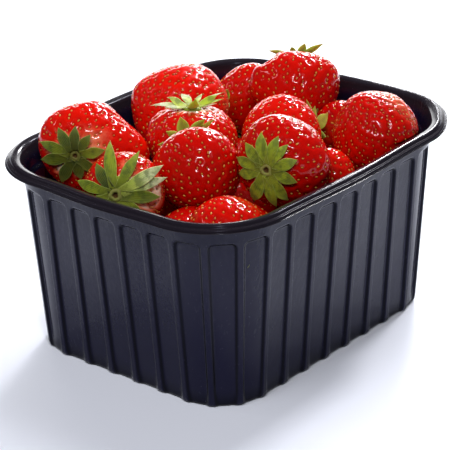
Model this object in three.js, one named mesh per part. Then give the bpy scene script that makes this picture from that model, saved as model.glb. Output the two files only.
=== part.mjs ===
// A thermoformed fruit punnet with ribbed, tapered walls and a stepped rim, heaped with strawberries.
// Millimetres, +Z up, +X along the long side. The origin is the middle of the footprint, on the
// surface that the punnet stands on.

import * as THREE from 'three';

// ---------------------------------------------------------------- driving dimensions

const TRAY_HEIGHT = 72;
const SHEET = 0.9;               // thickness of the walls and the floor

const RIBS_LONG = 8;             // outward ribs on each long side
const RIBS_SHORT = 6;            // outward ribs on each short side
const CORNER_PANELS = 3;         // recessed panels from the last rib of one side to the first of the next
const RIB_PITCH_LONG = 11.7;
const RIB_PITCH_SHORT = 11.4;
const RIB_CREST = 1.5;           // width of a rib's flat crest
const RIB_FLANK = 1.3;           // width of the slope from the crest to the panel
const PANEL_DEPTH = 1.2;         // how far a panel lies behind the rib crests

const FOOT_REACH = 19.1;         // radius of the corners at the foot, over the rib crests
const SHOULDER_REACH = 24.2;     // the same, just under the rim
const SHOULDER_Z = 69.5;
const FOOT_ROUND = 1.4;          // rounding between the underside and the walls
const ROUND_MIDDLE = 0.3;        // the middle of a quarter round, as a share of its radius from either side
const SIDE_BULGE = 1.4;          // the fruit pushes the middle of each side out by this at the rim

const PANEL_TOP_Z = 63.8;        // upper end of the recessed panels
const PANEL_SLOPE = 1.5;         // height of the slope that closes a panel's upper end
const PANEL_ARCH = 2.2;          // how far a panel's top corners draw in towards its middle
const PANEL_ARCH_LOW = 0.8;      // the same where the slope that closes the panel begins

// The rim's section from its outer lip inwards, as reach and depth below the top of the tray.
const RIM_TOP = [
  [29.6, 2.2],                   // the cut lip
  [29.1, 1.4],                   // skirt
  [28.2, 1.1],                   // sloping flange
  [27.9, 0.4],                   // step
  [27.3, 0],                     // flat ledge
  [25.5, 0],
  [24.5, 0.8],                   // rounding into the inside
];
const RIM_UNDERSIDE = [[25.6, 0.6], [27.2, 0.9], [28.6, 2.8], [29.6, 2.8]];

const FRUIT_GAP = 0.4;           // clearance between the heap and the tray
const LOWER_LAYER = { pitch: 26, z: 35, radius: 15 };   // fruit seen through the gaps of the top layer
const HEAP_FLOOR = 43;           // the lowest that the heap's surface dips between two berries
const BERRY_CAP = 0.93;          // share of a berry's radius that its round cap reaches
const HEAP_RINGS = 15;
const HEAP_STATIONS = { long: 10, short: 8, corner: 5 };

// The top layer, berry by berry: centre and mean radius of each.
const TOP_LAYER = [
  { x: -36, y: 36, z: 71, radius: 15.5 },
  { x: -49, y: 6, z: 65, radius: 14.3 },
  { x: 14, y: 34, z: 69, radius: 17.0 },
  { x: -6, y: 12, z: 67, radius: 16.0 },
  { x: -26, y: -8, z: 69, radius: 15.0 },
  { x: -10, y: -32, z: 73, radius: 15.5 },
  { x: 20, y: -7, z: 66, radius: 15.0 },
  { x: 48, y: 8, z: 72, radius: 16.0 },
  { x: 49, y: 33, z: 62, radius: 12.5 },
  { x: 38, y: -36, z: 70, radius: 15.5 },
  { x: 46, y: -15, z: 61, radius: 11.5 },
  { x: 7, y: -40, z: 65, radius: 9.7 },
  { x: -45, y: -36, z: 59, radius: 14.0 },
  { x: -45, y: -18, z: 54, radius: 10.0 },
  { x: -29, y: -33, z: 54, radius: 9.5 },
  { x: 53, y: 12, z: 85, radius: 6.0 },          // leaves standing on the highest berry
];

// ---------------------------------------------------------------- plan of the walls

// The plan is a core rectangle grown outwards. Every point of a wall is an anchor on the core
// rectangle's edge plus its outward direction times a reach: on a side the anchor moves and the
// direction stays, and round a corner the anchor stays and the direction turns.
const CORE_X = RIB_PITCH_LONG * (RIBS_LONG - 1) / 2;
const CORE_Y = RIB_PITCH_SHORT * (RIBS_SHORT - 1) / 2;
const MEAN_REACH = (FOOT_REACH + SHOULDER_REACH) / 2;

// The edge of the core rectangle in stretches: a side, the corner at its end, the next side and so
// on, anticlockwise from the +X side's lower end.
const CORE_CORNERS = [[CORE_X, CORE_Y], [-CORE_X, CORE_Y], [-CORE_X, -CORE_Y], [CORE_X, -CORE_Y]];
const CORNER_LENGTH = MEAN_REACH * Math.PI / 2;
const STRETCHES = CORE_CORNERS.flatMap((corner, index) => {
  const before = CORE_CORNERS[(index + 3) % 4];
  const onLongSide = index % 2 === 1;
  const angle = index * Math.PI / 2;
  const sideLength = 2 * (onLongSide ? CORE_X : CORE_Y);
  const kind = onLongSide ? 'long' : 'short';
  return [
    { kind, length: sideLength, from: before, to: corner, angle, turn: 0 },
    { kind: 'corner', length: CORNER_LENGTH, from: corner, to: corner, angle, turn: Math.PI / 2 },
  ];
});
const ROUND_LENGTH = STRETCHES.reduce((sum, stretch) => sum + stretch.length, 0);

// Evenly spaced places along each stretch, with the number of steps for each kind of stretch.
function evenPlaces(stepsByKind) {
  const places = [];
  let start = 0;
  for (const { kind, length } of STRETCHES) {
    const spacing = length / stepsByKind[kind];
    for (let step = 0; step < stepsByKind[kind]; step += 1) {
      places.push({ along: start + spacing * step, kind, spacing });
    }
    start += length;
  }
  return places;
}

function planPoint(along, reach, bulge) {
  let left = ((along % ROUND_LENGTH) + ROUND_LENGTH) % ROUND_LENGTH;
  let index = 0;
  while (index < STRETCHES.length - 1 && left > STRETCHES[index].length) {
    left -= STRETCHES[index].length;
    index += 1;
  }
  const stretch = STRETCHES[index];
  const share = left / stretch.length;
  const angle = stretch.angle + stretch.turn * share;
  const swell = stretch.turn === 0 ? Math.sin(Math.PI * share) ** 2 : 0;
  const out = reach + bulge * swell;
  const anchorX = stretch.from[0] + (stretch.to[0] - stretch.from[0]) * share;
  const anchorY = stretch.from[1] + (stretch.to[1] - stretch.from[1]) * share;
  return [anchorX + out * Math.cos(angle), anchorY + out * Math.sin(angle)];
}

const wallReach = (z) => FOOT_REACH + (SHOULDER_REACH - FOOT_REACH) * z / SHOULDER_Z;
const bulgeAt = (z) => SIDE_BULGE * Math.min(z / SHOULDER_Z, 1);

// ---------------------------------------------------------------- a closed skin from rings

// Each ring is a list of points, anticlockwise seen from above. The rings run from the middle of
// the underside outwards, up the outside, over the top and down or inwards to the upper middle.
function closedSkin(rings, undersideMiddle, upperMiddle) {
  const count = rings[0].length;
  const positions = [undersideMiddle, ...rings.flat(), upperMiddle].flat();
  const indices = [];
  const at = (ring, station) => 1 + ring * count + (station % count);
  const last = rings.length - 1;
  const upper = 1 + rings.length * count;
  for (let station = 0; station < count; station += 1) {
    indices.push(0, at(0, station + 1), at(0, station));
    for (let ring = 0; ring < last; ring += 1) {
      indices.push(at(ring, station), at(ring, station + 1), at(ring + 1, station + 1));
      indices.push(at(ring, station), at(ring + 1, station + 1), at(ring + 1, station));
    }
    indices.push(at(last, station), at(last, station + 1), upper);
  }
  const geometry = new THREE.BufferGeometry();
  geometry.setAttribute('position', new THREE.Float32BufferAttribute(positions, 3));
  geometry.setIndex(indices);
  geometry.computeVertexNormals();
  return geometry;
}

// ---------------------------------------------------------------- the tray

// Four stations to a rib: panel edge, crest edge, crest edge, panel edge. side says which way the
// panel beside the station lies, and sunk whether the station is at the panel's level. A panel that
// turns round a corner has a fifth station in its middle.
function ribStations() {
  const half = RIB_CREST / 2;
  const panels = { long: RIBS_LONG - 1, short: RIBS_SHORT - 1, corner: CORNER_PANELS };
  return evenPlaces(panels).flatMap(({ along, kind, spacing }) => [
    { along: along - half - RIB_FLANK, side: -1, sunk: 1 },
    { along: along - half, side: -1, sunk: 0 },
    { along: along + half, side: 1, sunk: 0 },
    { along: along + half + RIB_FLANK, side: 1, sunk: 1 },
    ...(kind === 'corner' ? [{ along: along + spacing / 2, side: 0, sunk: 1 }] : []),
  ]);
}

// The sheet's section, from the underside up the outside, round the rim and down the inside.
// depth is 1 where the panels are fully sunk and arch is how far their edges draw in.
function traySection() {
  const wall = (z, inset, depth, arch = 0) => ({ reach: wallReach(z) - inset, z, depth, arch });
  const archFoot = PANEL_TOP_Z - PANEL_SLOPE - PANEL_ARCH;
  const archMiddle = PANEL_TOP_Z - PANEL_SLOPE;
  const footMiddle = FOOT_ROUND * ROUND_MIDDLE;
  const rim = ([reach, drop]) => ({ reach, z: TRAY_HEIGHT - drop, depth: 0, arch: 0 });
  const outside = [
    { reach: FOOT_REACH - FOOT_ROUND, z: 0, depth: 1, arch: 0 },
    { reach: FOOT_REACH - footMiddle, z: footMiddle, depth: 1, arch: 0 },
    wall(FOOT_ROUND, 0, 1),
    wall(archFoot, 0, 1),
    wall(archMiddle, 0, 1, PANEL_ARCH_LOW),
    wall(PANEL_TOP_Z, 0, 0, PANEL_ARCH),
    wall(SHOULDER_Z, 0, 0),
  ];
  const inside = [
    wall(SHOULDER_Z, SHEET, 0),
    wall(PANEL_TOP_Z, SHEET, 0, PANEL_ARCH),
    wall(archMiddle, SHEET, 1, PANEL_ARCH_LOW),
    wall(archFoot, SHEET, 1),
    wall(SHEET + FOOT_ROUND, SHEET, 1),
    { reach: FOOT_REACH - SHEET - FOOT_ROUND, z: SHEET, depth: 1, arch: 0 },
  ];
  return [...outside, ...RIM_UNDERSIDE.map(rim), ...RIM_TOP.map(rim), ...inside];
}

function trayGeometry() {
  const stations = ribStations();
  const rings = traySection().map(({ reach, z, depth, arch }) => stations.map((station) => {
    const along = station.along + station.side * arch;
    const sunkReach = reach - PANEL_DEPTH * depth * station.sunk;
    return [...planPoint(along, sunkReach, bulgeAt(z)), z];
  }));
  return closedSkin(rings, [0, 0, 0], [0, 0, SHEET]);
}

// ---------------------------------------------------------------- the heap of strawberries

// Centres of the lower layer, in rows that stand half a pitch apart in turn. The rows run past the
// walls, and the heap takes only what lies inside them.
function lowerLayer() {
  const { pitch, z, radius } = LOWER_LAYER;
  const rowStep = pitch * Math.sqrt(3) / 2;
  const berries = [];
  for (let row = -2; row <= 2; row += 1) {
    for (let column = -3; column <= 3; column += 1) {
      const x = (column + (row % 2 === 0 ? 0 : 0.5)) * pitch;
      berries.push({ x, y: row * rowStep, z, radius });
    }
  }
  return berries;
}

// A berry's surface at a distance from its middle: a round cap, then a straight slope that
// carries on at the cap's last steepness.
function berryHeight(berry, distance) {
  const edge = berry.radius * BERRY_CAP;
  const edgeRise = Math.sqrt(berry.radius ** 2 - edge ** 2);
  if (distance < edge) {
    return berry.z + Math.sqrt(berry.radius ** 2 - distance ** 2);
  }
  return berry.z + edgeRise - (distance - edge) * edge / edgeRise;
}

// Height of the fruit above a point of the floor: the highest berry there, or the gaps' level.
function heapHeight(x, y, berries) {
  const heights = berries.map((berry) => berryHeight(berry, Math.hypot(x - berry.x, y - berry.y)));
  return Math.max(HEAP_FLOOR, ...heights);
}

function heapGeometry() {
  const berries = [...TOP_LAYER, ...lowerLayer()];
  const stations = evenPlaces(HEAP_STATIONS).map(({ along }) => along);
  const foot = SHEET + FRUIT_GAP;
  const inset = SHEET + PANEL_DEPTH + FRUIT_GAP;
  const sidePoint = (along, z, extra) => {
    const level = Math.min(z, SHOULDER_Z);
    return planPoint(along, wallReach(level) - inset - extra, bulgeAt(level));
  };
  const footRing = stations.map((along) => [...sidePoint(along, foot, FOOT_ROUND * 2), foot]);
  const lowRing = stations.map((along) => {
    const z = foot + FOOT_ROUND * 2;
    return [...sidePoint(along, z, 0), z];
  });
  const edge = stations.map((along) => {
    const [x, y] = sidePoint(along, HEAP_FLOOR, 0);
    const z = heapHeight(x, y, berries);
    return [...sidePoint(along, z, 0), z];
  });
  const topRings = [];
  for (let ring = 1; ring < HEAP_RINGS; ring += 1) {
    const share = 1 - ring / HEAP_RINGS;
    topRings.push(edge.map(([x, y]) => {
      const point = [x * share, y * share];
      return [...point, heapHeight(...point, berries)];
    }));
  }
  const rings = [footRing, lowRing, edge, ...topRings];
  return closedSkin(rings, [0, 0, foot], [0, 0, heapHeight(0, 0, berries)]);
}

// ---------------------------------------------------------------- the part

function namedMesh(name, geometry, color, roughness) {
  const material = new THREE.MeshStandardMaterial({ color, roughness, metalness: 0 });
  const mesh = new THREE.Mesh(geometry, material);
  mesh.name = name;
  return mesh;
}

const punnet = new THREE.Group();
punnet.add(namedMesh('punnet_tray', trayGeometry(), 0x22222a, 0.35));
punnet.add(namedMesh('strawberry_heap', heapGeometry(), 0xb31410, 0.3));

export default punnet;
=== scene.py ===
"""A ribbed black punnet heaped with strawberries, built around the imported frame.

Shapes are worked out in millimetres and turned into metres when their mesh is made. The long side runs
along X, Z is up, and the origin is the middle of the footprint.
"""
from dataclasses import dataclass

import bpy
import numpy as np
from mathutils import Matrix


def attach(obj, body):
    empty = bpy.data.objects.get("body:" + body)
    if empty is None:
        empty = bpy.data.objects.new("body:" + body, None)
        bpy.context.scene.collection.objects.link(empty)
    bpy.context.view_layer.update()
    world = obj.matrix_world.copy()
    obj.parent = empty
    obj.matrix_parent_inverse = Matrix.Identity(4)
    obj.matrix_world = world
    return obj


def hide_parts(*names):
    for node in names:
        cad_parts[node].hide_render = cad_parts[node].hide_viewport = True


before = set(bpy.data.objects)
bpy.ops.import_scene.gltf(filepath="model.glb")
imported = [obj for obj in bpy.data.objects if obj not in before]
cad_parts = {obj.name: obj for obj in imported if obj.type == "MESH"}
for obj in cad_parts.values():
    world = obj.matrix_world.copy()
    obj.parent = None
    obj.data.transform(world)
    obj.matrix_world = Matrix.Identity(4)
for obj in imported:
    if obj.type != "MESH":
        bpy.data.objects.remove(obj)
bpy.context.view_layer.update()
MM = 0.001


# -------- the viewer

CAMERA_AZIMUTH = np.radians(-49.53)  # 0 looks along +Y
CAMERA_ELEVATION = np.radians(24.56)
CAMERA_ROLL = np.radians(-1.61)
CAMERA_DISTANCE = 805.7
CAMERA_TARGET = np.array([0.0, 0.0, 35.9])
CAMERA_LENS = 179.3
CAMERA_SENSOR = 36.0
CAMERA_SHIFT = (-0.0141, 0.0045)


def unit(vectors):
    """The vectors at length 1."""
    return vectors / np.maximum(np.linalg.norm(vectors, axis=-1, keepdims=True), 1e-9)


def angle_from(directions, way):
    """Angles between unit vectors and another."""
    return np.arccos(np.clip(directions @ np.array(way), -1, 1))


def random_directions(rng, count):
    """Unit vectors in every direction."""
    return unit(rng.normal(size=(count, 3)))


def viewer_axes():
    """Right, up and near as the viewer sees them: near points back at the camera, right is level before
    the roll, and the roll turns right and up about near."""
    level = np.cos(CAMERA_ELEVATION)
    near = np.array([
        np.sin(CAMERA_AZIMUTH) * level,
        -np.cos(CAMERA_AZIMUTH) * level,
        np.sin(CAMERA_ELEVATION),
    ])
    flat_right = unit(np.cross(-near, [0, 0, 1]))
    flat_up = np.cross(flat_right, -near)
    cosine, sine = np.cos(CAMERA_ROLL), np.sin(CAMERA_ROLL)
    return cosine * flat_right + sine * flat_up, cosine * flat_up - sine * flat_right, near


RIGHT, UP, NEAR = viewer_axes()


def seen(right, up, near):
    """A unit direction given as the viewer sees it."""
    return unit(right * RIGHT + up * UP + near * NEAR)


# -------- meshes from arrays

def placed(name, data):
    """A new object in the scene."""
    made = bpy.data.objects.new(name, data)
    bpy.context.scene.collection.objects.link(made)
    return made


def smooth(value):
    """0 below 0, 1 above 1, and the cubic 3t^2 - 2t^3 between."""
    t = np.clip(value, 0, 1)
    return t * t * (3 - 2 * t)


def bell(value):
    """1 in the middle, falling off as exp(-x^2)."""
    return np.exp(-value * value)


def full_turn(count):
    """Angles evenly round a full turn."""
    return np.linspace(0, 2 * np.pi, count, endpoint=False)


def closed_faces(rows, columns):
    """Faces over a first pole, rows of points round an axis, and a last pole, pointing outwards when the
    rows run away from the first pole and the columns anticlockwise as seen from beyond it."""
    grid = np.arange(rows * columns).reshape(rows, columns) + 1
    following = np.roll(grid, -1, axis=1)
    quads = np.stack([grid[:-1], grid[1:], following[1:], following[:-1]], -1).reshape(-1, 4)
    pole = np.zeros(columns, int)
    start = np.stack([pole, grid[0], following[0]], -1)
    end = np.stack([pole + rows * columns + 1, following[-1], grid[-1]], -1)
    return quads, np.concatenate([start, end])


def closed_points(first, rings, last):
    """The points that closed_faces joins, in its order."""
    return np.concatenate([np.reshape(first, (1, 3)), rings.reshape(-1, 3), np.reshape(last, (1, 3))])


class Batch:
    """Closed skins gathered into one mesh, with named values for each point."""

    def __init__(self):
        self.points = []
        self.quads = []
        self.triangles = []
        self.values = {}
        self.count = 0

    def add(self, points, faces, **values):
        """One skin, or copies of one: points are (n, 3) or (copies, n, 3), and a value is one number, one
        for each copy, or one for each point."""
        stack = points.reshape(-1, *points.shape[-2:])
        copies, size = stack.shape[:2]
        starts = (self.count + np.arange(copies) * size)[:, None, None]
        self.points.append(stack.reshape(-1, 3))
        self.quads.append((faces[0][None] + starts).reshape(-1, 4))
        self.triangles.append((faces[1][None] + starts).reshape(-1, 3))
        for name, value in values.items():
            value = np.asarray(value, float)
            if value.shape == (copies,):
                value = value[:, None]
            self.values.setdefault(name, []).append(np.broadcast_to(value, (copies, size)).ravel())
        self.count += copies * size

    def close(self, first, rings, last, **values):
        """One skin over rings of points and its two poles. A value is one number, or one for the first
        pole, those of the rings and one for the last pole."""
        shape = rings.shape[:2]
        for name, value in values.items():
            if isinstance(value, tuple):
                between = np.broadcast_to(value[1], shape)
                values[name] = np.concatenate([[value[0]], between.ravel(), [value[2]]])
        self.add(closed_points(first, rings, last), closed_faces(*shape), **values)

    def piece(self, name, material, slot, stands_for=()):
        """Makes the piece, which rides on the frame and shows in place of the CAD nodes it stands for."""
        mesh = bpy.data.meshes.new(name)
        points = np.concatenate(self.points) * MM
        quads = np.concatenate(self.quads)
        triangles = np.concatenate(self.triangles)
        mesh.from_pydata(points.tolist(), [], quads.tolist() + triangles.tolist())
        mesh.shade_smooth()
        for label, parts in self.values.items():
            attribute = mesh.attributes.new(label, "FLOAT", "POINT")
            attribute.data.foreach_set("value", np.concatenate(parts).astype(np.float32))
        mesh.materials.append(material)
        piece = placed(name, mesh)
        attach(piece, "root")
        if stands_for:
            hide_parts(*stands_for)


def grid_normals(rings):
    """Outward unit normals of rings[row, column]: the step to the next row crossed with the step to the
    next column, the columns closing on themselves."""
    down = np.gradient(rings, axis=0)
    along = np.roll(rings, -1, axis=1) - np.roll(rings, 1, axis=1)
    return unit(np.cross(down, along))


# -------- plan of the tray

TRAY_HEIGHT = 72.0
SHEET = 0.9
RIBS_LONG = 8
RIBS_SHORT = 6
CORNER_PANELS = 3
RIB_PITCH_LONG = 11.7
RIB_PITCH_SHORT = 11.4
RIB_CREST = 1.5
RIB_FLANK = 1.3
PANEL_DEPTH = 1.2
FOOT_FLANK = 1.2  # how much wider the flanks are at the foot
FOOT_WAVE_HEIGHT = 5.0
FOOT_DEPTH = 0.7  # depth of the panels at the foot, as a share of the depth above
PANEL_TOP_Z = 63.4
PANEL_CORNER = 2.6
FOOT_REACH = 19.1
SHOULDER_REACH = 24.2
SHOULDER_Z = 69.5
FOOT_ROUND = 1.5
SIDE_BULGE = 1.4

CORE_X = RIB_PITCH_LONG * (RIBS_LONG - 1) / 2
CORE_Y = RIB_PITCH_SHORT * (RIBS_SHORT - 1) / 2
CORNER_LENGTH = (FOOT_REACH + SHOULDER_REACH) / 2 * np.pi / 2

# The edge of the core rectangle, anticlockwise: start, end, first outward angle, turn, panels, length.
STRETCHES = []
CORNERS = [(CORE_X, CORE_Y), (-CORE_X, CORE_Y), (-CORE_X, -CORE_Y), (CORE_X, -CORE_Y)]
for index, corner in enumerate(CORNERS):
    on_long = index % 2 == 1
    panels = (RIBS_LONG if on_long else RIBS_SHORT) - 1
    side = 2 * (CORE_X if on_long else CORE_Y)
    quarter = index * np.pi / 2
    STRETCHES.append((CORNERS[index - 1], corner, quarter, 0.0, panels, side))
    STRETCHES.append((corner, corner, quarter, np.pi / 2, CORNER_PANELS, CORNER_LENGTH))


def wall_reach(z):
    """Radius of the plan's corners at a height, over the rib crests: straight from foot to shoulder."""
    return FOOT_REACH + (SHOULDER_REACH - FOOT_REACH) * np.minimum(z / SHOULDER_Z, 1)


def bulge_at(z):
    """How far the fruit pushes out the middle of a side, growing straight up to the shoulder."""
    return SIDE_BULGE * np.clip(z / SHOULDER_Z, 0, 1)


def plan_points(stretch, share, reach, bulge):
    """Points of the plan: an anchor on the core rectangle plus the outward direction times the reach. On a
    side the bulge adds its height times the squared sine of pi times the share."""
    table = np.array([[*a, *b, angle, turn] for a, b, angle, turn, _, _ in STRETCHES])[stretch]
    x0, y0, x1, y1, angle, turn = np.moveaxis(table, -1, 0)
    swell = np.where(turn == 0, np.sin(np.pi * share) ** 2, 0)
    out = reach + bulge * swell
    facing = angle + turn * share
    return x0 + (x1 - x0) * share + out * np.cos(facing), y0 + (y1 - y0) * share + out * np.sin(facing)


FRUIT_GAP = 0.35  # between the fruit and the panels
FRUIT_GIVE = 0.45  # how softly the fruit flattens where it presses on a wall
FREE_BELOW = 2.0  # from this far below the brim the limit widens,
FREE_SLOPE = 4.0  # by this much for each millimetre up


def within_walls(points):
    """The points, drawn in to the inner wall where they would pass it below the rim: the distance from
    the core rectangle becomes the limit less a soft maximum of nothing and the room that is left."""
    flat, z = points[..., :2], points[..., 2]
    anchor = np.clip(flat, [-CORE_X, -CORE_Y], [CORE_X, CORE_Y])
    away = flat - anchor
    distance = np.linalg.norm(away, axis=-1)
    freed = FREE_SLOPE * np.maximum(z - TRAY_HEIGHT + FREE_BELOW, 0)
    limit = wall_reach(z) - SHEET - PANEL_DEPTH - FRUIT_GAP + freed
    room = np.clip((limit - distance) / FRUIT_GIVE, -60, 60)
    held = limit - FRUIT_GIVE * np.log1p(np.exp(room))
    scale = np.where(room < 20, held / np.maximum(distance, 1e-6), 1)
    drawn = anchor + away * scale[..., None]
    return np.concatenate([drawn, z[..., None]], -1)


# -------- the tray

# Places between one rib and the next, in millimetres from the rib's middle: close together over the
# crest and the flanks, wide apart on the panel. The same places run back from the next rib.
RIB_PLACES = [0.0, 0.45, 0.68, 0.85, 1.05, 1.3, 1.6, 1.9, 2.15, 2.5, 3.2, 4.4]

LEAST_STEP = 0.3  # least distance from such a place to the panel's middle

# The rim, from its inner rounding outwards over the ledge, which leans in a little, and over the step,
# flange and skirt to the lip, whose edge turns up, and back underneath: reach, height and dullness.
RIM_SECTION = [
    (23.95, 69.5, 0.8), (24.12, 70.4, 0.8), (24.32, 70.95, 0.8), (24.62, 71.35, 0.7),
    (25.05, 71.64, 0.6), (25.6, 71.82, 0.15), (26.2, 71.95, 0.1), (26.7, 72.02, 0.3),
    (27.15, 71.98, 0.7), (27.5, 71.82, 0.9), (27.75, 71.55, 1), (27.88, 71.2, 1),
    (28.02, 70.95, 1), (28.12, 70.89, 0.9), (28.22, 70.855, 0.6), (28.3, 70.832, 0.4),
    (28.8, 70.71, 0.4), (28.88, 70.685, 0.6), (28.95, 70.64, 0.9), (29.1, 70.5, 1),
    (29.22, 70.2, 1), (29.25, 69.85, 1), (29.31, 69.69, 0.7), (29.4, 69.66, 0.2),
    (29.8, 69.775, 0), (29.82, 69.56, 0.3), (29.5, 69.42, 0.3), (29.05, 69.55, 0.3), (28.85, 69.9, 0.3),
    (28.7, 70.2, 0.3), (28.2, 70.35, 0.3), (27.7, 70.6, 0.3), (27.45, 71.0, 0.3), (27.05, 71.32, 0.3),
    (26.6, 71.42, 0.3), (26.1, 71.36, 0.3), (25.6, 71.22, 0.3), (25.1, 70.98, 0.3), (24.7, 70.5, 0.3),
    (24.45, 70.0, 0.3),
]


def panel_sink(across, half_panel, z):
    """How far the sheet lies behind the rib crests, from 0 to the panel's depth: a smooth step over the
    flank's width on the distance inside the panel, a slot whose top corners are round. Over the last few
    millimetres above the foot the flank widens and the panel gets shallower, which leaves a wavy foot."""
    side = half_panel - across
    top = PANEL_TOP_Z - z
    corner_x = np.maximum(PANEL_CORNER - side, 0)
    corner_z = np.maximum(PANEL_CORNER - top, 0)
    inside = np.minimum(side, top)
    rounded = PANEL_CORNER - np.hypot(corner_x, corner_z)
    inside = np.where((corner_x > 0) & (corner_z > 0), rounded, inside)
    low = smooth(1 - z / FOOT_WAVE_HEIGHT)
    flank = RIB_FLANK + FOOT_FLANK * low
    return PANEL_DEPTH * (1 - (1 - FOOT_DEPTH) * low) * smooth(inside / flank)


def tray_columns():
    """Stretch, share of it, distance from the panel's middle and half the panel's width, for each place
    round the tray. The places run from each rib to the next, close together at both."""
    columns = []
    for index, (_, _, _, _, panels, length) in enumerate(STRETCHES):
        pitch = length / panels
        near_rib = [place for place in RIB_PLACES if place < pitch / 2 - LEAST_STEP]
        places = near_rib + [pitch / 2] + [pitch - place for place in near_rib[:0:-1]]
        for panel in range(panels):
            for place in places:
                share = (panel * pitch + place) / length
                columns.append((index, share, abs(place - pitch / 2), pitch / 2 - RIB_CREST / 2))
    stretch, share, across, half_panel = np.array(columns).T
    return stretch.astype(int), share, across, half_panel


def tray_rows():
    """The sheet's section from the inside of the floor up the inner wall, round the rim and down the
    outer wall to the underside: reach, height, 1 where the panels sink, and dullness."""
    heights = np.concatenate([
        np.linspace(FOOT_ROUND * 1.6, 58, 15),
        np.linspace(59.5, PANEL_TOP_Z + 0.6, 12),
        [66.2, 68.2],
    ])
    turn = np.radians([15, 38, 62, 84])
    foot = np.column_stack([FOOT_REACH - FOOT_ROUND * (1 - np.sin(turn)), FOOT_ROUND * (1 - np.cos(turn))])
    wall = np.column_stack([wall_reach(heights), heights])
    floor = [(reach, SHEET) for reach in (0.5, 6.0, 12.0, 15.0, 16.4)]
    underside = [(reach, 0) for reach in (17.3, 14.0, 8.0, 0.5)]
    inner = np.concatenate([floor, foot + [-SHEET, SHEET], wall[1:] - [SHEET, 0]])
    outer = np.concatenate([wall[::-1], foot[::-1], underside])
    rim = [(reach, z, 0, dull) for reach, z, dull in RIM_SECTION]
    return np.array([*((*row, 1, 0) for row in inner), *rim, *((*row, 1, 0) for row in outer)])


SPRUNG_OUT = 3.6  # how far the end wall stands out of true, at most
SPRUNG_Y = -27.0  # where along the wall that is
SPRUNG_LENGTH = 27.0
SPRUNG_Z = (30.0, 70.0)  # it grows between these heights
SPRUNG_X = (56.0, 66.0)  # and fades out round the corner between these


def sprung(x, y, z):
    """How far the fruit has sprung one end wall out along X, near a corner: a bell along the wall times
    smooth steps in height and in X."""
    low, high = SPRUNG_Z
    start, end = SPRUNG_X
    along = bell((y - SPRUNG_Y) / SPRUNG_LENGTH)
    return SPRUNG_OUT * along * smooth((z - low) / (high - low)) * smooth((x - start) / (end - start))


def tray_skin():
    """The tray as one closed sheet: each row of the section carried round the plan, and drawn in by the
    panels' sink, which the inside follows. The flanks of the ribs are dull and painted darker as painted
    shade, most at half their depth."""
    stretch, share, across, half_panel = tray_columns()
    rows = tray_rows()
    reach, z, sunk, dull = (rows[:, index:index + 1] for index in range(4))
    sink = panel_sink(across[None], half_panel[None], np.minimum(z, TRAY_HEIGHT)) * sunk
    x, y = plan_points(stretch[None].repeat(len(rows), 0), share[None], reach - sink, bulge_at(z))
    rings = np.stack([x + sprung(x, y, z), y, np.broadcast_to(z, x.shape)], -1)
    share_sunk = sink / PANEL_DEPTH
    dullness = np.maximum(4 * share_sunk * (1 - share_sunk), dull)
    batch = Batch()
    batch.close([0, 0, SHEET], rings, [0, 0, 0], dull=(0, dullness, 0))
    return batch


# -------- one strawberry

LOOSE_SWELLS = 18  # swells of the small unevenness
LOOSE_SPREAD = (16, 40)  # their spreads, in degrees
SEEDLESS = (4.5, 0.975 * np.pi)  # no seeds nearer the calyx than this walk, or nearer the tip than this angle


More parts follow.
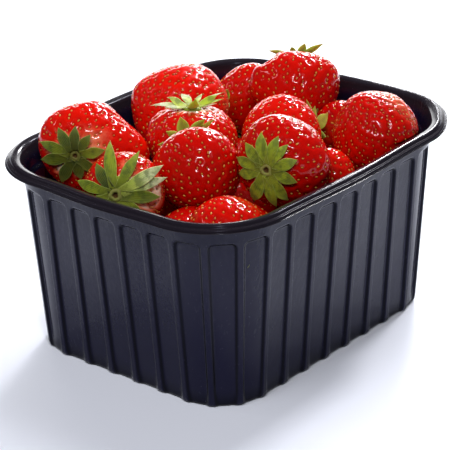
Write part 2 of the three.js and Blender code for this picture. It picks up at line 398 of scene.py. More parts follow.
@dataclass
class Berry:
    """A strawberry: where its middle is, how long and wide it is, and which way its calyx faces."""
    centre: tuple
    length: float
    width: float
    calyx: tuple  # right, up and near, as the viewer sees it
    taper: float = 0.2  # how much wider the shoulder is than the tip
    oval: float = 1.0  # width across, as a share of the width along the viewer's right
    dimple: float = 1.2  # how deep the calyx sits in the shoulder
    bumps: tuple = ()  # right, up, near, height in millimetres, spread in degrees
    uneven: float = 0.56  # height of the small unevenness, at most
    seed_gap: float = 3.15  # distance between neighbouring seeds
    seed_size: float = 1.0
    pit: float = 0.4  # depth of the dimple round each seed
    pale: tuple = (3.0, 7.0)  # the flesh reddens between these distances from the calyx
    # On the dull berry these pale patches are a painted sheen on its lit upper right, not unripe flesh.
    patches: tuple = ()  # pale patches: right, up, near, spread in degrees, strength
    # Tint is partly the berry's own colour and partly painted light: deeper on berries that lie in shade,
    # lighter on well lit ones.
    tint: float = 0.4  # 0 is a deep crimson, 1 a light orange red
    matt: float = 0.0  # 0 is wet and glossy, 1 is dull
    leaves: object = None  # its calyx, where that isn't a loose one
    loose: tuple = ()  # what its loose calyx is made from
    number: int = 0  # seeds the random unevenness

    def axes(self):
        """Across, along and calyx directions: across is nearest to the viewer's right."""
        calyx = seen(*self.calyx)
        across = unit(RIGHT - calyx * (RIGHT @ calyx))
        return across, np.cross(calyx, across), calyx

    def profile(self, polar):
        """Distance from the axis and height along it: half the width times the sine, swollen towards the
        calyx, and half the length times the cosine, dimpled at the calyx."""
        out = self.width / 2 * np.sin(polar) * (1 + self.taper * np.cos(polar))
        height = self.length / 2 * np.cos(polar)
        sunk = self.dimple * bell(out / (0.24 * self.width))
        return out, height - np.where(polar < np.pi / 2, sunk, 0)

    def walk(self):
        """Distance walked over the skin from the calyx, and the polar angle reached."""
        polar = np.linspace(0, np.pi, 600)
        out, height = self.profile(polar)
        steps = np.hypot(np.diff(out), np.diff(height))
        return np.concatenate([[0], np.cumsum(steps)]), polar

    def swells(self):
        """Directions, heights and spreads of the berry's own bumps and of its small unevenness."""
        own = [(*seen(*bump[:3]), bump[3], np.radians(bump[4])) for bump in self.bumps]
        rng = np.random.default_rng(900 + self.number)
        loose = random_directions(rng, LOOSE_SWELLS)
        heights = rng.uniform(-1, 1, LOOSE_SWELLS) * self.uneven
        spreads = np.radians(rng.uniform(*LOOSE_SPREAD, LOOSE_SWELLS))
        return np.array([*own, *np.column_stack([loose, heights, spreads])])

    def skin(self, polar, turn):
        """Points of the skin without its pits: the profile turned about the calyx axis and made oval,
        then pushed out by every swell's height times a bell of the angle from it."""
        across, along, calyx = self.axes()
        out, height = self.profile(polar)
        local = (
            (out * np.cos(turn))[..., None] * across
            + (out * np.sin(turn) * self.oval)[..., None] * along
            + height[..., None] * calyx
        )
        direction = unit(local)
        push = np.zeros(out.shape)
        for *way, high, spread in self.swells():
            push += high * bell(angle_from(direction, way) / spread)
        return within_walls(np.array(self.centre) + local + direction * push[..., None])

    def wrapped(self, x, y):
        """Points of the skin below a flat pattern laid over the calyx end, which keeps its distances from
        the middle as distances over the skin."""
        walked, polar = self.walk()
        return self.skin(np.interp(np.hypot(x, y), walked, polar), np.arctan2(y, x))

    def raised(self, x, y, height):
        """Points that stand above the wrapped pattern, along the skin's normal."""
        step = 0.3
        slope_x = self.wrapped(x + step, y) - self.wrapped(x - step, y)
        slope_y = self.wrapped(x, y + step) - self.wrapped(x, y - step)
        return self.wrapped(x, y) + unit(np.cross(slope_x, slope_y)) * height[..., None]

    def seed_places(self):
        """Polar angles and turns of the seeds: a golden-angle spiral with an even share of the skin to
        each seed, jittered, and none under the calyx or at the very tip."""
        walked, polar = self.walk()
        out, _ = self.profile(polar)
        area = np.concatenate([[0], np.cumsum(np.pi * (out[1:] + out[:-1]) * np.diff(walked))])
        count = int(area[-1] / (0.866 * self.seed_gap ** 2))
        rng = np.random.default_rng(300 + self.number)
        shares = (np.arange(count) + 0.5 + rng.uniform(-0.4, 0.4, count)) / count
        turn = np.arange(count) * np.pi * (3 - 5 ** 0.5) + rng.normal(0, 0.06, count)
        place = np.interp(np.clip(shares, 0, 1) * area[-1], area, polar)
        reached = np.interp(place, polar, walked)
        kept = (reached > SEEDLESS[0]) & (place < SEEDLESS[1])
        return place[kept], turn[kept]

    def seed_frames(self):
        """Middle, outward normal, direction towards the tip and direction across, for each seed."""
        polar, turn = self.seed_places()
        step = 0.02
        middle = self.skin(polar, turn)
        to_tip = self.skin(polar + step, turn) - self.skin(polar - step, turn)
        round_axis = self.skin(polar, turn + step) - self.skin(polar, turn - step)
        normal = unit(np.cross(to_tip, round_axis))
        to_tip = unit(to_tip)
        return middle, normal, to_tip, np.cross(normal, to_tip)


FLESH_STEP = 0.4  # distance between the rows of a berry's skin
COLUMN_STEP = 0.44  # distance between its columns, where it is widest
PIT_RADIUS = 0.92
PIT_REACH = 2.6  # how far a pit is worked out, in radii
PIT_LIMIT = 1.15  # the most that pits add up to where they meet
BLOTCHES = 10  # blotches that redden early or late
BLOTCH_SPREAD = 0.6  # in radians
BLOTCH_DRIFT = 2.2  # in millimetres from the calyx, at most
STREAKS = 8  # waves in the edge of the red
STREAK_WAVES = (7, 26)  # how many times each goes round
STREAK_DRIFT = 0.45


def flesh(batch, berry, detail=1.0):
    """Adds a berry's flesh: the skin on rows an even walk apart, sunk by the pit depth times the sum of
    bells round the seeds. Ripeness, pit, tint and dullness go with each point."""
    walked, polar_walked = berry.walk()
    rows = int(walked[-1] / FLESH_STEP * detail)
    columns = int(np.pi * berry.width / COLUMN_STEP * detail)
    reached = np.linspace(0, walked[-1], rows + 2)[1:-1]
    polar = np.interp(reached, walked, polar_walked)[:, None].repeat(columns, 1)
    turn = full_turn(columns)[None].repeat(rows, 0)
    rings = berry.skin(polar, turn)
    normals = grid_normals(rings)
    pit = np.zeros(rings.shape[:2])
    for seed in berry.seed_frames()[0]:
        close = np.abs(rings - seed).max(-1) < PIT_RADIUS * PIT_REACH
        apart = np.linalg.norm(rings[close] - seed, axis=-1)
        pit[close] += bell(apart / PIT_RADIUS)
    pit = np.minimum(pit, PIT_LIMIT)
    rings = rings - normals * (berry.pit * pit)[..., None]
    poles = berry.skin(np.array([0.0, np.pi]), np.zeros(2))
    direction = unit(rings - np.array(berry.centre))
    rng = np.random.default_rng(500 + berry.number)
    ways = random_directions(rng, BLOTCHES)
    drifts = rng.uniform(-BLOTCH_DRIFT, BLOTCH_DRIFT, BLOTCHES)
    drift = sum(bell(angle_from(direction, way) / BLOTCH_SPREAD) * high for way, high in zip(ways, drifts))
    waves = zip(rng.integers(*STREAK_WAVES, STREAKS), rng.uniform(0, 6.3, STREAKS))
    streaks = STREAK_DRIFT * sum(np.sin(count * turn + phase) for count, phase in waves)
    start, end = berry.pale
    ripe = smooth((reached[:, None] + drift + streaks - start) / (end - start))
    for right, up, near, spread, strength in berry.patches:
        angle = angle_from(direction, seen(right, up, near))
        ripe = ripe * (1 - strength * bell(angle / np.radians(spread)))
    values = {"ripe": (0, ripe, 1), "pit": (0, pit, 0), "tint": berry.tint, "matt": berry.matt}
    batch.close(poles[0], rings, poles[1], **values)


# A seed's outline from its blunt end to its point, as shares of its length, from its middle, and width.
SEED_SECTION = np.array([(-0.24, 0.86), (0.12, 0.9)])
SEED_SIDES = 6
SEED_LENGTH = 1.1
SEED_WIDTH = 0.66
SEED_HEIGHT = 0.62
SEED_RISE = 0.10  # how far its middle stands above the bottom of its pit


def seed_shape():
    """A drop with two rings of six points between its two ends, along Y, with its back towards Z."""
    angle = full_turn(SEED_SIDES)
    y = SEED_SECTION[:, 0:1] * SEED_LENGTH + 0 * angle
    x = SEED_SECTION[:, 1:2] * np.sin(angle) * SEED_WIDTH / 2
    z = SEED_SECTION[:, 1:2] * np.cos(angle) * SEED_HEIGHT / 2
    rings = np.stack([x, y, z], -1)
    return closed_points([0, -SEED_LENGTH / 2, 0], rings, [0, SEED_LENGTH / 2, 0])


def seeds(batch, berry, lowest=-1.0):
    """Adds a berry's seeds, each the same drop turned to point at the berry's tip and set into its pit.
    Only those whose skin faces up by more than lowest are made."""
    frames = np.stack(berry.seed_frames())
    middle, normal, to_tip, across = frames[:, frames[1, :, 2] > lowest]
    rng = np.random.default_rng(700 + berry.number)
    count = len(middle)
    size = berry.seed_size * rng.uniform(0.85, 1.15, count)[:, None, None]
    lean = rng.normal(0, 0.25, count)[:, None]
    along = to_tip * np.cos(lean) + across * np.sin(lean)
    side = np.cross(along, normal)
    turned = np.stack([side, along, normal], 1)
    shape = seed_shape()[None] * size
    seat = middle - normal * (berry.pit - SEED_RISE)
    points = np.einsum("snk,skj->snj", shape, turned) + seat[:, None]
    batch.add(points, closed_faces(len(SEED_SECTION), SEED_SIDES), shade=rng.uniform(0, 1, count))


# -------- the calyx

@dataclass
class Sepal:
    """One green leaf of a calyx: the way it points as the viewer sees the calyx, anticlockwise from the
    right, and its sizes in millimetres."""
    angle: float
    length: float
    width: float = 4.0
    lift: float = 1.5  # height of the point above the flesh
    # Shade is partly the leaf's own colour and partly painted light: low on sepals that lie in shade, high on
    # backlit ones, and its bleached grey green partly a painted sheen.
    shade: float = 0.5  # 0 is dark, 1 is yellow green, 2 a bleached grey green
    widest: float = 0.5  # where along its length it is widest
    twist: float = 0.0  # how far one edge rises above the other at the point


@dataclass
class Calyx:
    """The leaves on a berry, with the green disc that they grow from and the cut stem in its middle."""
    sepals: tuple
    disc: float = 4.2  # radius of the disc
    stub: float = 2.1  # radius of the cut stem
    stub_height: float = 1.6
    # the disc's shade, set per calyx partly as painted light like a sepal's
    shade: float = 0.5


SEPAL_ROWS = 18
SEPAL_SIDES = 16
SEPAL_END = 0.985  # share of the length where the last row is
SEPAL_ROOT = 1.8  # distance of the root from the middle of the calyx
SEPAL_NECK = 0.8  # width at the root, as a share of the greatest
SEPAL_LIFT = 0.7  # height of the root above the flesh
SEPAL_THICK = 0.24  # half its thickness at the root
SEPAL_THINNING = 0.13
SEPAL_SWAY = 0.7  # how far the point bends aside, at most
SEPAL_FOLD = (0.25, 0.55)
SEPAL_WAVE = 0.16
SEPAL_RIB = 0.1


def sepal(batch, berry, leaf, number):
    """Adds one sepal, a closed blade. Its width goes as sin(pi s^p)^1.05 at the share s of the length, with
    p set by where it is widest, and no less than a neck at its root. Its section is an ellipse folded up
    at the edges, and it is laid over the berry and lifted by the square of s."""
    rng = np.random.default_rng(40 + number)
    share = np.linspace(0, SEPAL_END, SEPAL_ROWS)[:, None]
    angle = full_turn(SEPAL_SIDES)[None]
    power = np.log(0.5) / np.log(leaf.widest)
    outline = np.sin(np.pi * share ** power) ** 1.05
    outline = np.where(share < leaf.widest, np.maximum(outline, SEPAL_NECK), outline)
    side = -np.cos(angle)
    reach = SEPAL_ROOT + share * (leaf.length - SEPAL_ROOT)
    sway = rng.uniform(-SEPAL_SWAY, SEPAL_SWAY) * share ** 2
    across = side * outline * leaf.width / 2 + sway
    rounded = np.sqrt(np.clip(1.02 - side ** 2 * 0.6, 0, 1))
    thick = (SEPAL_THICK - SEPAL_THINNING * share) * np.sin(angle) * rounded
    fold = rng.uniform(*SEPAL_FOLD) * side ** 2 * outline * leaf.width / 4
    wave = SEPAL_WAVE * np.sin(6.5 * share + rng.uniform(0, 6)) * side * outline
    lift = SEPAL_LIFT + (leaf.lift - SEPAL_LIFT) * share ** 2
    tilt = leaf.twist * side * share * outline
    rib = SEPAL_RIB * bell(side / 0.16) * (1 - share)
    height = lift + thick + fold + wave + tilt + rib * np.sign(np.sin(angle))
    facing = np.radians(leaf.angle)
    x = reach * np.cos(facing) - across * np.sin(facing)
    y = reach * np.sin(facing) + across * np.cos(facing)
    rings = berry.raised(x, y, height)
    first = rings[0].mean(0)
    last = rings[-1].mean(0) + (rings[-1].mean(0) - rings[-2].mean(0)) * 0.3
    batch.close(
        first, rings, last,
        along=(0, share, 1), across=(0, side, 0), shade=leaf.shade,
        under=(0, smooth(-np.sin(angle) * 3), 0), cut=0,
    )


DISC_SIDES = 40


def disc_rows(calyx):
    """The disc and cut stem: distance from the middle and height over the flesh, from the hollow of the
    stem outwards, over the disc's edge and back underneath."""
    stub, high, disc = calyx.stub, calyx.stub_height, calyx.disc
    return np.array([
        (stub * 0.15, high * 0.2), (stub * 0.3, high * 0.25), (stub * 0.4, high * 0.6),
        (stub * 0.52, high * 0.95), (stub * 0.72, high * 1.02), (stub * 0.9, high * 0.93),
        (stub, high * 0.8), (stub * 1.1, 0.9), (stub * 1.35, 0.85), (disc * 0.7, 0.85),
        (disc * 0.88, 0.7), (disc, 0.45), (disc * 1.04, 0.2), (disc * 0.98, -0.1), (disc * 0.5, -0.3),
    ])


def calyx_disc(batch, berry, calyx):
    """Adds the disc and cut stem, turned about the calyx axis, made a little wavy and laid on the berry."""
    rows = disc_rows(calyx)
    angle = full_turn(DISC_SIDES)[None]
    rng = np.random.default_rng(60 + berry.number)
    wobble = 1 + 0.05 * np.sin(5 * angle + rng.uniform(0, 6)) + 0.07 * np.sin(3 * angle + rng.uniform(0, 6))
    x = rows[:, 0:1] * wobble * np.cos(angle)
    y = rows[:, 0:1] * wobble * np.sin(angle)
    on_disc = smooth(rows[:, 0:1] / calyx.stub - 1) * (rows[:, 1:2] > 0.25)
    folds = 0.07 * np.cos(angle * max(len(calyx.sepals), 6) + 1) * on_disc
    rings = berry.raised(x, y, rows[:, 1:2] + folds)
    middle = berry.raised(np.zeros(2), np.zeros(2), np.array([calyx.stub_height * 0.28, -0.3]))
    out = rows[:, 0:1] / calyx.stub
    cut = smooth((1.25 - out) / 0.3) + 0.3 * smooth((0.5 - out) / 0.14)
    batch.close(
        middle[0], rings, middle[1],
        along=0.4, across=0.3, shade=calyx.shade, under=0, cut=(1.3, cut, 0),
    )


def calyx(batch, berry, leaves):
    """Adds a berry's whole calyx."""
    calyx_disc(batch, berry, leaves)
    for index, leaf in enumerate(leaves.sepals):
        sepal(batch, berry, leaf, berry.number * 20 + index)


def crown(*rows, **sizes):
    """A calyx whose sepals are given as rows."""
    return Calyx(tuple(Sepal(*row) for row in rows), **sizes)


def loose_calyx(number, count=10, length=10.5, lift=1.6, shade=0.5):
    """A calyx with evenly spread sepals of uneven lengths, lifts and shades."""
    rng = np.random.default_rng(80 + number)
    angles = np.arange(count) * 360 / count + rng.uniform(-9, 9, count) + rng.uniform(0, 360)
    sepals = tuple(
        Sepal(
            angle,
            length * rng.uniform(0.8, 1.15),
            width=rng.uniform(3.3, 4.4),
            lift=lift * rng.uniform(0.4, 1.8),
            twist=rng.uniform(-0.6, 0.6),
            shade=shade + rng.uniform(-0.2, 0.2),
        )
        for angle in angles
    )
    return Calyx(sepals, shade=shade)


# -------- the heap

# Each sepal is a row of the values of Sepal, in their order.
# This calyx lies in shade, so its low shades are partly painted shade.
FRONT_LEFT_LEAVES = crown(
    (125, 10.4, 3.8, 1.1, 0.15), (92, 9.9, 3.5, 1, 0.05), (54, 9, 3.4, 0.9, 0.15),
    (12, 10.6, 3.8, 1.2, 0.4), (160, 12.2, 3.9, 1.6, 0.35), (193, 11.8, 4.1, 1.8, 0.15),
    (237, 11.4, 4.2, 1.4, 0.05), (281, 8.8, 4, 1, 0.05), (322, 9.2, 4, 1, 0.15),
    stub=1.7, stub_height=0.9, shade=0.3,
)

STANDING_LEAVES = crown(
    (101, 18, 4.2, 4.5), (64, 15.6, 3.6, 3.6, 0.45), (31, 17.5, 4.2, 4, 1.7), (20, 17.3, 3.6, 3.6, 1.8),
    (-4, 14.2, 4.4, 2.4, 0.3), (128, 12.6, 4, 1.6, 0.05), (163, 15.6, 3.8, 2.6), (200, 12, 4.2, 1.4),
    (240, 12, 4.2, 1.2), (280, 11.5, 4.2, 1.2), (320, 12.5, 4.4, 1.6),
    disc=6.2, stub=2.2, stub_height=1.5,
)

STAR_LEAVES = crown(
    (103, 12.4, 4.4, 1.4, 0.65, 0.52), (73, 12, 3.9, 1.7, 0.6, 0.55), (55, 11.6, 3.2, 1.5, 0.75, 0.56),
    (20, 11.4, 4.2, 1.2, 0.6, 0.55), (-14, 11.2, 4.3, 1, 0.65, 0.55), (-56, 12.6, 4.9, 1.2, 0.6, 0.55),
    (-81, 13.6, 4.2, 1.6, 0.65, 0.52), (-114, 13.2, 4.8, 1.4, 0.6, 0.52),
    (-163, 10.8, 4.2, 1.2, 0.55, 0.56), (168, 12, 3.8, 1.2, 0.6, 0.55), (134, 11.6, 4, 1.2, 0.5, 0.55),
    disc=4.6, stub=2.25, stub_height=1.1, shade=0.68,
)

CROWN_LEAVES = crown(
    # The sepals with shades near 1.9 are bleached, partly a painted sheen of the light behind them.
    (184, 12.6, 2.6, 4.5, 1.9, 0.42, -0.8), (138, 10.8, 2.6, 3.3, 1.8, 0.45),
    (172, 7.6, 4.2, 4.4, 1.1, 0.52, -1.5), (104, 13.2, 3.2, 4.5, 1.8), (278, 7.2, 4.2, 6, 0.95, 0.36),
    (72, 11.5, 2, 3.8, 1.5, 0.45), (46, 12.2, 2.4, 6, 1.8), (30, 8.8, 3.4, 4.7, 1.1, 0.5, 1.2),
    (20, 10.6, 2.4, 4.2, 1), (206, 9.6, 2.4, 2.6, 1.9, 0.42, -0.8), (4, 8.4, 1.8, 2.6, 1.7, 0.42),
    disc=3.4, stub=1.7, stub_height=1.2, shade=0.6,
)

HIDDEN_CROWN = crown(
    (260, 9.8, 4.2, 4.6, 0.55), (300, 10.8, 3.8, 3.2), (324, 11.2, 2.8, 4.6, 1.4),
    (224, 8.8, 3.2, 3, 0.8), (184, 9.4, 3.4, 3, 0.8), (140, 10), (95, 10.5), (55, 10, 3.8),
    (15, 9.5),
    disc=4.4, stub=2, stub_height=1.4,
)

SIDE_LEAVES = crown(
    (268, 11.4, 3.2, 2.2, 0.2), (282, 9.6, 3.2, 2.6, 0.4), (320, 11.4, 4.6, 4.2, 1.2),
    (354, 10.2, 3, 1.6, 0.7), (40, 9.5), (80, 9), (120, 9.5), (165, 9), (210, 10), (240, 9, 3.6),
    disc=4.4, stub=2, stub_height=1.4,
)

TOP_LEAVES = crown(
    # the first sepal's high shade paints the glow of a backlit leaf
    (214, 11.6, 3.2, 3, 2), (252, 8.8, 2.4, 1.6, 0.3), (288, 9.2, 3.2, 3.2, 1.3),
    (311, 12.6, 2.8, 4.6, 1.3), (350, 9.5), (30, 9), (70, 9.5), (110, 9), (150, 10), (190, 9, 3.8),
    stub=1.9, stub_height=1.3,
)

# The berries that show from the front, from left to right.
SHOWN = [
    Berry((-35, 35, 70.5), 30, 31, (-0.26, -0.26, 0.93), taper=0.15,
        bumps=((0.96, -0.2, 0.1, 6.8, 32), (-0.8, 0.2, 0.4, 2.2, 40), (0.3, 0.9, 0.1, 1.4, 24)),
        patches=((0.05, 0.16, 0.98, 20, 0.5), (0.34, -0.04, 0.9, 18, 0.45)), pale=(5, 11), tint=0.65,
        leaves=FRONT_LEFT_LEAVES),
    Berry((-48.6, 6, 65.3), 27, 28.5, (-0.18, -0.1, 0.97), taper=0.1,
        patches=((0.64, -0.04, 0.76, 24, 1.9), (0.1, 0.6, 0.75, 12, 0.6)), pale=(5, 8), seed_gap=2.7,
        leaves=STANDING_LEAVES),
    Berry((14.4, 34.5, 68.5), 33, 34, (0.75, 0.1, -0.6), taper=-0.05, oval=0.95,
        bumps=((-0.93, 0.38, 0.2, 2.4, 24), (-0.75, -0.5, 0.3, 1.5, 30), (0.5, 0.85, 0.1, 2, 28),
            (0.97, 0.2, 0.1, 1.3, 26)),
        patches=((0.95, 0.1, 0.25, 22, 0.55),), seed_gap=2.9, tint=0.8, matt=0.2),
    Berry((-6.2, 12, 66.6), 31, 33, (0, 0.86, 0.3), dimple=1.8, pale=(4, 8), leaves=CROWN_LEAVES),
    Berry((-26.1, -8.4, 68.8), 30, 30, (-0.3, 0.72, -0.62), taper=0.12, tint=0.3, leaves=HIDDEN_CROWN),
    Berry((-10, -32.5, 73.3), 29, 31, (-0.44, -0.26, 0.86), taper=0.1, dimple=1.8,
        bumps=((0.8, -0.3, 0.3, 1.8, 35), (-0.3, 0.85, 0.2, 1, 30)), pale=(5, 7.5), tint=0.25,
        leaves=STAR_LEAVES),
    Berry((19.8, -7.2, 65.6), 29, 30.5, (0.8, 0.2, -0.6), taper=0.1, tint=0.6, leaves=SIDE_LEAVES),
    Berry((48, 8, 70.9), 29.5, 30.5, (0.05, 0.85, -0.5), taper=0.1, dimple=0.8,
        bumps=((-0.95, 0.1, 0.2, 2.4, 20), (-0.82, 0.57, 0.2, 2.2, 17), (0.85, 0.5, 0.1, 1.9, 30),
            (-0.68, 0.73, 0.2, -3, 9), (-0.35, 0.9, 0.15, 0.6, 15)),
        pale=(4, 9), leaves=TOP_LEAVES),
    Berry((48.8, 32.6, 62.7), 28, 24, (-0.35, -0.75, -0.4), taper=0.15, loose=(9, 9, 1, 0.6)),
    Berry((37.2, -36.3, 69.2), 29.4, 30.9, (0.35, -0.75, -0.5), taper=0.1, dimple=1,
        bumps=((-0.5, 0.78, 0.3, 0.9, 24), (0.45, 0.88, 0.1, 0.5, 22)),
        # painted sheen: these pale patches stand for the sheen on this dull berry's upper right
        patches=((0.45, 0.82, 0.3, 28, 0.5), (0.85, 0.25, 0.45, 22, 0.3)), seed_gap=2.5, seed_size=0.75,
        pit=0.44, tint=0.35, matt=0.08, uneven=0.128, loose=(9, 10)),
    # painted shade: the deepest crimson tint, because this berry lies in shade
    Berry((46.3, -15.3, 61), 22, 22, (-0.6, 0.4, -0.6), tint=0, loose=(8, 8)),
    Berry((6.5, -39.5, 64.6), 19, 18.6, (0.2, -0.8, -0.5), tint=0.65, loose=(8, 8)),
    Berry((-45.2, -36.2, 59.2), 27, 29, (0.25, -0.95, 0), taper=0.05, loose=(9, 9)),
    Berry((-44.8, -18, 54), 21, 20, (-0.3, -0.8, 0.3), tint=0.2, loose=(8, 7, 0.9)),
    Berry((-28.6, -33.5, 53.8), 20, 19, (0.2, -0.8, 0.2), tint=0.55, loose=(8, 7, 0.9)),
]

# Berries that fill the space between and below the others.
FILLERS = [
    ((13, -26, 50), 26, 24), ((-22, 17, 47), 28, 26), ((24, 13, 46), 28, 26), ((-50, 28, 44), 26, 24),
    ((40, -12, 42), 28, 26), ((-14, 38, 42), 28, 26), ((16, -38, 36), 26, 24), ((52, 22, 40), 26, 25),
    ((-48, -24, 34), 26, 24), ((-24, -34, 32), 26, 24), ((-4, -8, 41), 28, 27), ((46, -38, 44), 27, 25),
    ((30, 40, 43), 27, 25), ((-52, 2, 38), 27, 25),
]

LOWER_DETAIL = 0.45
FILLER_SEEDS_FACE = 0.1  # the fillers keep only the seeds on their upper side


def filler_berries():
    """The fillers as berries that lie any way round."""
    rng = np.random.default_rng(11)
    made = []
    for index, (centre, length, width) in enumerate(FILLERS):
        way = rng.normal(size=3)
        tint = rng.uniform(0.1, 0.5)
        made.append(Berry(centre, length, width, tuple(way), tint=tint, pale=(0.5, 1.5), number=40 + index))
    return made


CORE_TOP = 30.0
CORE_FLOOR = SHEET + 0.5
CORE_DROP = 3.0  # how far its top falls to its edge
CORE_HEAVE = 2.6
CORE_HEAVE_LENGTH = 7.5
CORE_GAP = 0.8
CORE_POWER = 0.42  # 1 would make its plan an ellipse, 0 a rectangle


def core_skin():
    """The fruit below, which only shows as dark flesh in the deepest gaps: a closed lump out to the
    walls, with low rounded heaves on its top. Its rows run out over the top, down the side and in below."""
    turn = full_turn(96)
    top = np.arange(1, 23) / 22
    side = np.arange(1, 9) / 8
    below = [0.96, 0.6, 0.25]
    edge = CORE_TOP - CORE_DROP
    scale = np.concatenate([top, np.ones(side.size), below])[:, None]
    side_z = edge - (edge - CORE_FLOOR - 1) * side
    z = np.concatenate([top * 0 + CORE_TOP, side_z, [CORE_FLOOR] * len(below)])[:, None]
    reach = (wall_reach(z) - SHEET - PANEL_DEPTH - CORE_GAP) * 0.97
    x = np.sign(np.cos(turn)) * np.abs(np.cos(turn)) ** CORE_POWER * (CORE_X + reach) * scale
    y = np.sign(np.sin(turn)) * np.abs(np.sin(turn)) ** CORE_POWER * (CORE_Y + reach) * scale
    heave = CORE_HEAVE * np.sin(x / CORE_HEAVE_LENGTH + 1) * np.sin(y / CORE_HEAVE_LENGTH)
    risen = np.where(np.arange(len(z))[:, None] < top.size, heave - CORE_DROP * scale ** 6, 0)
    rings = np.stack([x, y, z + risen], -1)
    batch = Batch()
    batch.close([0, 0, CORE_TOP], rings, [0, 0, CORE_FLOOR], ripe=1, pit=0, tint=0, matt=0.6)
    return batch


# -------- shader maths

class Wire:
    """One output of a material's nodes. Arithmetic on wires and numbers adds Math nodes."""

    def __init__(self, maker, socket):
        self.maker = maker
        self.socket = socket

    def _math(self, operation, first, second=0.5):
        return self.maker.node("ShaderNodeMath", 0, {0: first, 1: second}, operation=operation)

    def __add__(self, other):
        return self._math("ADD", self, other)

    def __sub__(self, other):
        return self._math("SUBTRACT", self, other)

    def __rsub__(self, other):
        return self._math("SUBTRACT", other, self)

    def __mul__(self, other):
        return self._math("MULTIPLY", self, other)

    __radd__ = __add__
    __rmul__ = __mul__

    def absolute(self):
        return self._math("ABSOLUTE", self)

    def sine(self):
        return self._math("SINE", self)

    def band(self, start, end):
        """0 before start, 1 after end and a smooth step between. start may be the larger."""
        values = {0: self, 1: start, 2: end}
        if start > end:
            values = {0: self, 1: end, 2: start, 3: 1.0, 4: 0.0}
        return self.maker.node("ShaderNodeMapRange", 0, values, interpolation_type="SMOOTHSTEP")


class Finish:
    """A material in the making, whose nodes all come from node()."""

    def __init__(self, name):
        self.material = bpy.data.materials.new(name)
        self.material.use_nodes = True
        self.tree = self.material.node_tree
        self.tree.nodes.clear()

    def node(self, kind, output, values=(), **settings):
        """A new node's output of that name or number, if any, after its inputs and settings are set."""
        made = self.tree.nodes.new(kind)
        for name, setting in settings.items():
            setattr(made, name, setting)
        for key, value in dict(values).items():
            if isinstance(value, Wire):
                self.tree.links.new(value.socket, made.inputs[key])
            else:
                made.inputs[key].default_value = value
        return None if output is None else Wire(self, made.outputs[output])

    def own(self, *names):
        """The piece's values of those names."""
        return [self.node("ShaderNodeAttribute", "Fac", attribute_name=name) for name in names]

    def place(self):
        """Position on the piece, in metres."""
        return self.node("ShaderNodeTexCoord", "Object")

    def noise(self, scale, detail=3.0, rough=0.5, vector=None):
        vector = vector or self.place()
        values = {"Vector": vector, "Scale": scale, "Detail": detail, "Roughness": rough}
        return self.node("ShaderNodeTexNoise", "Fac", values)

    def stretched(self, scale, turn):
        """Position scaled along each axis after a turn in degrees."""
        values = {"Vector": self.place(), "Scale": scale, "Rotation": tuple(np.radians(turn))}
        return self.node("ShaderNodeMapping", 0, values, vector_type="TEXTURE")

    def mix(self, amount, first, second):
        """Colour that goes from first to second."""
        values = {0: amount, 6: first, 7: second}
        return self.node("ShaderNodeMix", 2, values, data_type="RGBA")

    def layered(self, colour, *layers):
        """A colour with others laid over it in turn, each given with its mask."""
        for mask, paint in layers:
            colour = self.mix(mask, colour, paint)
        return colour

    def bump(self, height, distance, strength, under=None):
        values = {"Height": height, "Distance": distance, "Strength": strength}
        if under is not None:
            values["Normal"] = under
        return self.node("ShaderNodeBump", 0, values)

    def surface(self, **values):
        """The Principled shader, its sockets named with _ for spaces, joined to the output."""
        named = {name.replace("_", " "): value for name, value in values.items()}
        shader = self.node("ShaderNodeBsdfPrincipled", 0, named)
        self.node("ShaderNodeOutputMaterial", None, {"Surface": shader})
        return self.material


def rgb(red, green, blue):
    """A colour from sRGB numbers of 0 to 255."""
    share = np.array([red, green, blue]) / 255
    linear = np.where(share <= 0.04045, share / 12.92, ((share + 0.055) / 1.055) ** 2.4)
    return (*linear.tolist(), 1.0)


# -------- the finishes

def flesh_finish():
    """Wet red skin: crimson to orange red by the berry's tint, pale where it isn't ripe, painted darker and
    warmer in the pits as painted shade, with a thin gloss that the dull berries lack."""
    made = Finish("strawberry_flesh")
    ripe, pit, tint, matt = made.own("ripe", "pit", "tint", "matt")
    cloud = made.noise(180, 3, 0.55)
    fine = made.noise(1400, 2, 0.6)
    deep = made.mix(tint, rgb(160, 0, 0), rgb(224, 20, 2))
    mottled = made.mix(cloud.band(0.35, 0.7) * 0.35, deep, rgb(194, 8, 2))
    blush = made.mix(cloud.band(0.3, 0.7), rgb(240, 142, 104), rgb(228, 92, 58))
    unripe = made.mix(ripe.band(0.05, 0.35), rgb(246, 214, 188), blush)
    edge = (ripe + (cloud - 0.5) * 0.5 + (fine - 0.5) * 0.25).band(0.15, 0.85)
    skin = made.mix(edge, unripe, mottled)
    # painted shade: the flesh is darkened and warmed in the seed pits
    colour = made.mix(pit.band(0.35, 1.05) * 0.45, skin, rgb(120, 2, 4))
    grain = made.bump(fine * (1.0 + matt * 3.0), 0.00008, 0.2)
    bumped = made.bump(made.noise(620, 3, 0.55) * (1.0 + matt * 2.0), 0.00012, 0.5, under=grain)
    return made.surface(
        Base_Color=colour,
        Roughness=0.13 + matt * 0.45 + (fine - 0.5) * 0.08,
        Normal=bumped,
        Subsurface_Weight=0.22,
        Subsurface_Radius=(0.0022, 0.0005, 0.0003),
        Subsurface_Scale=1.0,
        Coat_Weight=0.2 - matt * 0.2,
        Coat_Roughness=0.06,
        IOR=1.4,
    )


def seed_finish():
    """Satin golden seeds, some of them brown."""
    made = Finish("strawberry_seed")
    [shade] = made.own("shade")
    grain = made.noise(3000, 2)
    colour = made.layered(
        rgb(180, 104, 30),
        (shade.band(0.1, 0.9), rgb(216, 156, 66)),
        (shade.band(0.86, 0.97), rgb(158, 80, 26)),
        (grain * 0.35, rgb(176, 100, 28)),
    )
    return made.surface(Base_Color=colour, Roughness=0.34 + grain * 0.1, Coat_Weight=0.25)


